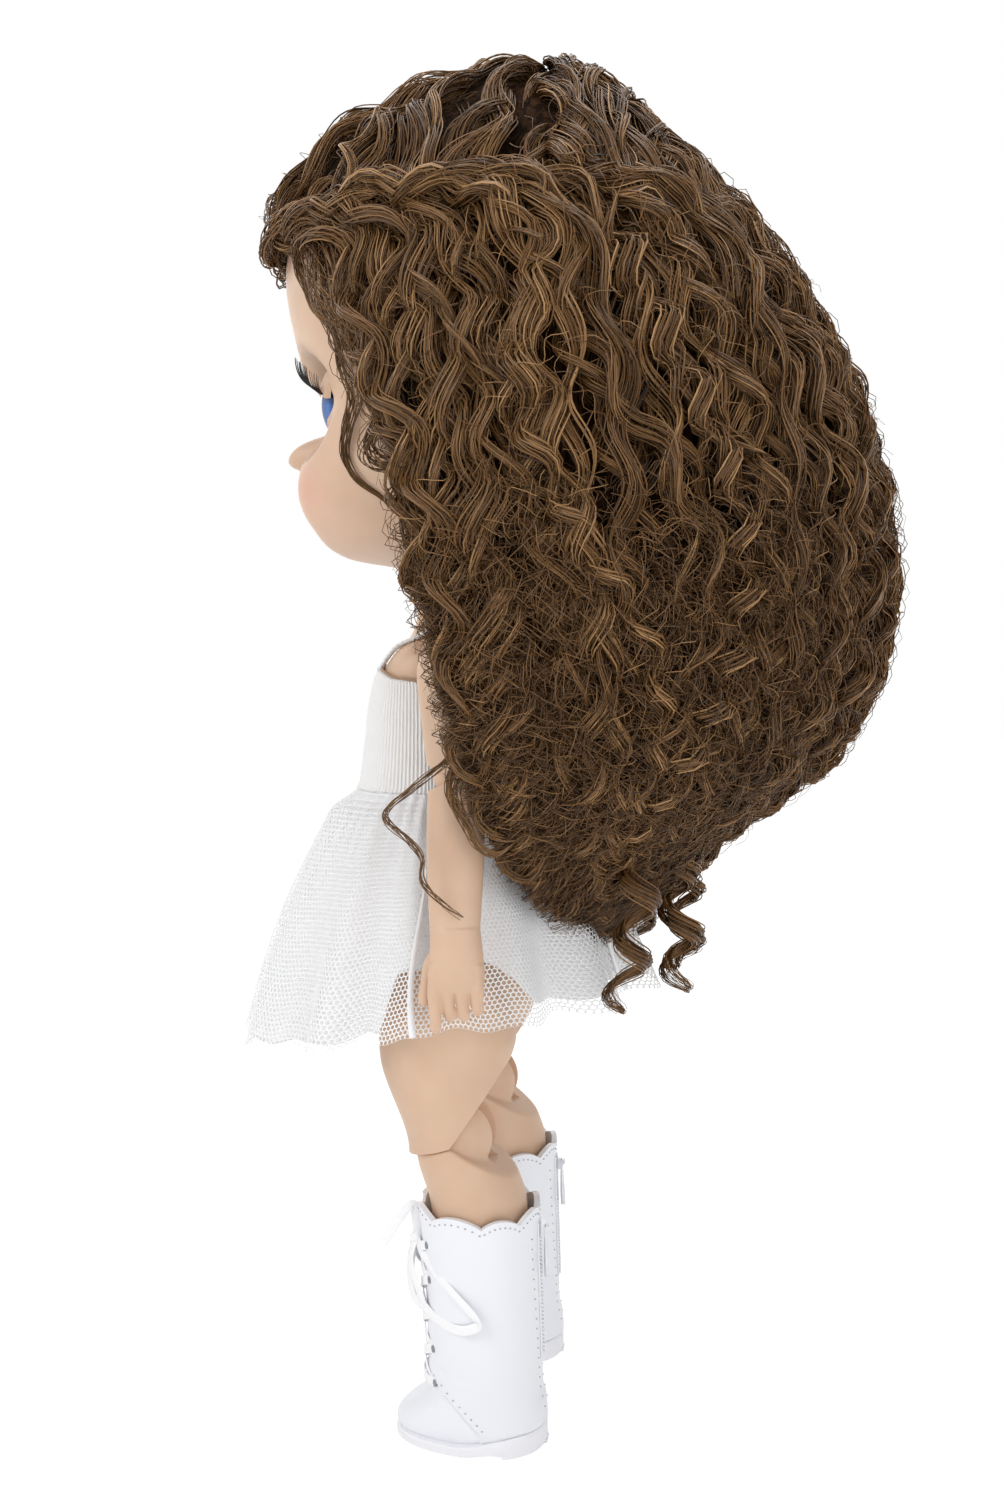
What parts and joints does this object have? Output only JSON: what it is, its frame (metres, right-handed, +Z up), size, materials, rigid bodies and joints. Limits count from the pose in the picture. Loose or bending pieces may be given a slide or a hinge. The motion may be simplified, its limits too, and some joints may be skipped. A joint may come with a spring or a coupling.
{
  "type": "doll",
  "caption": "Standing child doll with long curled brown hair, moving blue eyes, a ribbed bodice with a net skirt and white laced boots",
  "frame": {"origin": "bottom centre of the bounding box, on the ground between the soles", "axes": "+X to the doll's left, +Y to its back, +Z up"},
  "size_m": [0.1353, 0.1451, 0.2925],
  "materials": {
    "skin": "smooth skin-coloured vinyl",
    "hair": "rooted curled fibre",
    "eye": "clear glossy eye",
    "lash": "fine black fibre",
    "inner_plastic": "as moulded",
    "boot_vinyl": "white grained sheet",
    "ribbon": "satin weave",
    "knit": "fine rib knit",
    "lining": "plain weave",
    "net": "hexagonal net",
    "steel": "plated"
  },
  "bodies": {
    "torso": {"torso_front": "skin", "torso_back": "skin", "torso_screw_lower": "steel", "torso_screw_upper": "steel", "bodice": "knit", "bodice_closure": "knit", "strap_left": "knit", "strap_right": "knit", "skirt_lining": "lining", "tulle_overlay": "net"},
    "neck": {"neck_post": "skin"},
    "head": {"face_shell": "skin", "back_shell": "skin", "eye_frame": "inner_plastic", "scalp_cap": "hair", "hair_fringe": "hair", "hair_crown": "hair", "hair_back": "hair", "hair_side_left": "hair", "hair_side_right": "hair", "hair_fall_back": "hair", "hair_fall_left": "hair", "hair_fall_right": "hair", "ringlet_left": "hair", "ringlet_rear_left": "hair", "ringlet_rear_right": "hair", "ringlet_right": "hair"},
    "eyes": {"eye_bar": "inner_plastic", "eye_left": "eye", "eye_right": "eye", "eyelid_left": "skin", "eyelid_right": "skin", "lashes_left": "lash", "lashes_right": "lash"},
    "shoulder_left": {"shoulder_link_left": "inner_plastic"},
    "upper_arm_left": {"upper_arm_left": "skin"},
    "forearm_left": {"forearm_left": "skin", "elbow_pin_left": "inner_plastic"},
    "hip_left": {"hip_link_left": "inner_plastic"},
    "thigh_left": {"thigh_left": "skin"},
    "calf_left": {"calf_left": "skin", "knee_pin_left": "inner_plastic", "boot_upper_left": "boot_vinyl", "boot_sole_left": "boot_vinyl", "boot_lace_left": "ribbon", "boot_zip_left": "ribbon", "zip_pull_left": "steel"},
    "shoulder_right": {"shoulder_link_right": "inner_plastic"},
    "upper_arm_right": {"upper_arm_right": "skin"},
    "forearm_right": {"forearm_right": "skin", "elbow_pin_right": "inner_plastic"},
    "hip_right": {"hip_link_right": "inner_plastic"},
    "thigh_right": {"thigh_right": "skin"},
    "calf_right": {"calf_right": "skin", "knee_pin_right": "inner_plastic", "boot_upper_right": "boot_vinyl", "boot_sole_right": "boot_vinyl", "boot_lace_right": "ribbon", "boot_zip_right": "ribbon", "zip_pull_right": "steel"}
  },
  "joints": [
    {"name": "neck_nod", "type": "hinge", "parent": "torso", "child": "neck", "pos_m": [0, -0.0255, 0.181], "axis": [1, 0, 0], "range_deg": [-8, 10]},
    {"name": "neck_turn", "type": "hinge", "parent": "neck", "child": "head", "pos_m": [0, -0.0255, 0.19], "axis": [0, 0, 1], "range_deg": [-45, 45], "deforming": ["hair_fall_back", "hair_fall_left", "hair_fall_right", "ringlet_left", "ringlet_rear_left", "ringlet_rear_right", "ringlet_right"]},
    {"name": "eye_roll", "type": "hinge", "parent": "head", "child": "eyes", "pos_m": [0, -0.036, 0.219], "axis": [1, 0, 0], "range_deg": [0, 35]},
    {"name": "shoulder_swing_left", "type": "hinge", "parent": "torso", "child": "shoulder_left", "pos_m": [0.026, -0.0215, 0.1635], "axis": [-1, 0, 0], "range_deg": [-25, 70]},
    {"name": "shoulder_raise_left", "type": "hinge", "parent": "shoulder_left", "child": "upper_arm_left", "pos_m": [0.026, -0.0215, 0.1635], "axis": [0, -1, 0], "range_deg": [0, 25]},
    {"name": "elbow_bend_left", "type": "hinge", "parent": "upper_arm_left", "child": "forearm_left", "pos_m": [0.0335, -0.0182, 0.143], "axis": [-1, 0, 0], "range_deg": [0, 40]},
    {"name": "hip_swing_left", "type": "hinge", "parent": "torso", "child": "hip_left", "pos_m": [0.0168, -0.0255, 0.109], "axis": [-1, 0, 0], "range_deg": [-15, 80], "deforming": ["skirt_lining", "tulle_overlay"]},
    {"name": "hip_splay_left", "type": "hinge", "parent": "hip_left", "child": "thigh_left", "pos_m": [0.0168, -0.0255, 0.109], "axis": [0, -1, 0], "range_deg": [0, 15]},
    {"name": "knee_bend_left", "type": "hinge", "parent": "thigh_left", "child": "calf_left", "pos_m": [0.0195, -0.0205, 0.066], "axis": [1, 0, 0], "range_deg": [0, 80]},
    {"name": "shoulder_swing_right", "type": "hinge", "parent": "torso", "child": "shoulder_right", "pos_m": [-0.026, -0.0215, 0.1635], "axis": [-1, 0, 0], "range_deg": [-25, 70]},
    {"name": "shoulder_raise_right", "type": "hinge", "parent": "shoulder_right", "child": "upper_arm_right", "pos_m": [-0.026, -0.0215, 0.1635], "axis": [0, 1, 0], "range_deg": [0, 25]},
    {"name": "elbow_bend_right", "type": "hinge", "parent": "upper_arm_right", "child": "forearm_right", "pos_m": [-0.0335, -0.0182, 0.143], "axis": [-1, 0, 0], "range_deg": [0, 40]},
    {"name": "hip_swing_right", "type": "hinge", "parent": "torso", "child": "hip_right", "pos_m": [-0.0168, -0.0255, 0.109], "axis": [-1, 0, 0], "range_deg": [-15, 80]},
    {"name": "hip_splay_right", "type": "hinge", "parent": "hip_right", "child": "thigh_right", "pos_m": [-0.0168, -0.0255, 0.109], "axis": [0, 1, 0], "range_deg": [0, 15]},
    {"name": "knee_bend_right", "type": "hinge", "parent": "thigh_right", "child": "calf_right", "pos_m": [-0.0195, -0.0205, 0.066], "axis": [1, 0, 0], "range_deg": [0, 80]}
  ]
}
